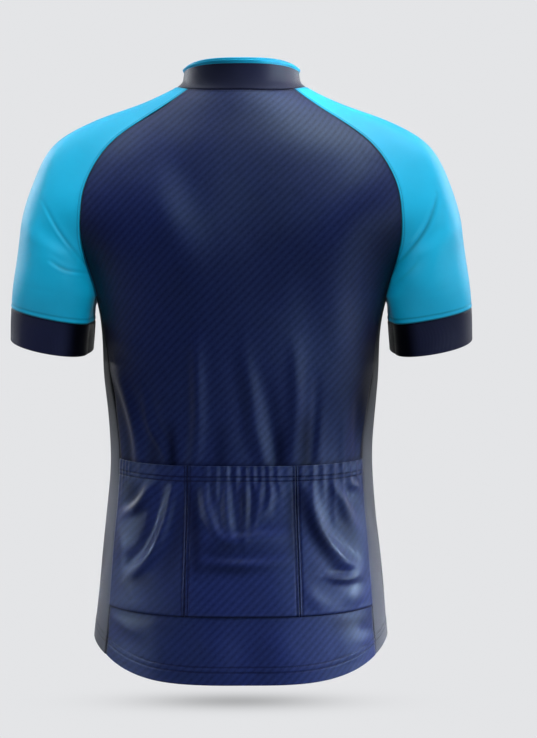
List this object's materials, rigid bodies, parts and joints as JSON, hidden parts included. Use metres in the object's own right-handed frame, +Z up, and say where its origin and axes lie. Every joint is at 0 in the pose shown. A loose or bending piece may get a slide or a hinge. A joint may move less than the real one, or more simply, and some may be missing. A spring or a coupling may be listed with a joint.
{
  "type": "cycling jersey",
  "caption": "Short-sleeved raglan cycling jersey, filled out as if worn, with a stand collar, a front zip and a row of back pockets.",
  "frame": {"origin": "middle of the neck at the height of the collar seam at the back, where the wearer's neck and shoulders hold the jersey", "axes": "+Z up, the back faces -Y and the zipped front +Y, the wearer's left arm is on the -X side"},
  "size_m": [0.543, 0.2435, 0.715],
  "materials": {
    "navy_knit": "navy polyester knit with a fine diagonal stripe, slight sheen",
    "cyan_knit": "cyan polyester knit, slight sheen",
    "charcoal_knit": "charcoal elastic knit, matte",
    "grey_mesh": "grey fine mesh knit, matte",
    "zip_tape": "woven zip tape with moulded teeth",
    "zip_metal": "dark satin metal"
  },
  "bodies": {
    "root": {"back_panel": "navy_knit", "front_left": "navy_knit", "front_right": "navy_knit", "pocket_left": "navy_knit", "pocket_centre": "navy_knit", "pocket_right": "navy_knit", "sleeve_left": "cyan_knit", "sleeve_right": "cyan_knit", "collar_binding": "cyan_knit", "cuff_left": "charcoal_knit", "cuff_right": "charcoal_knit", "collar": "charcoal_knit", "side_panel_left": "grey_mesh", "side_panel_right": "grey_mesh", "zip_tape": "zip_tape", "zip_slider": "zip_metal"},
    "pull": {"zip_pull": "zip_metal"}
  },
  "joints": [
    {"name": "pull_hinge", "type": "hinge", "parent": "root", "child": "pull", "pos_m": [0, 0.06923, -0.03882], "axis": [1, 0, 0], "range_deg": [0, 140]}
  ]
}
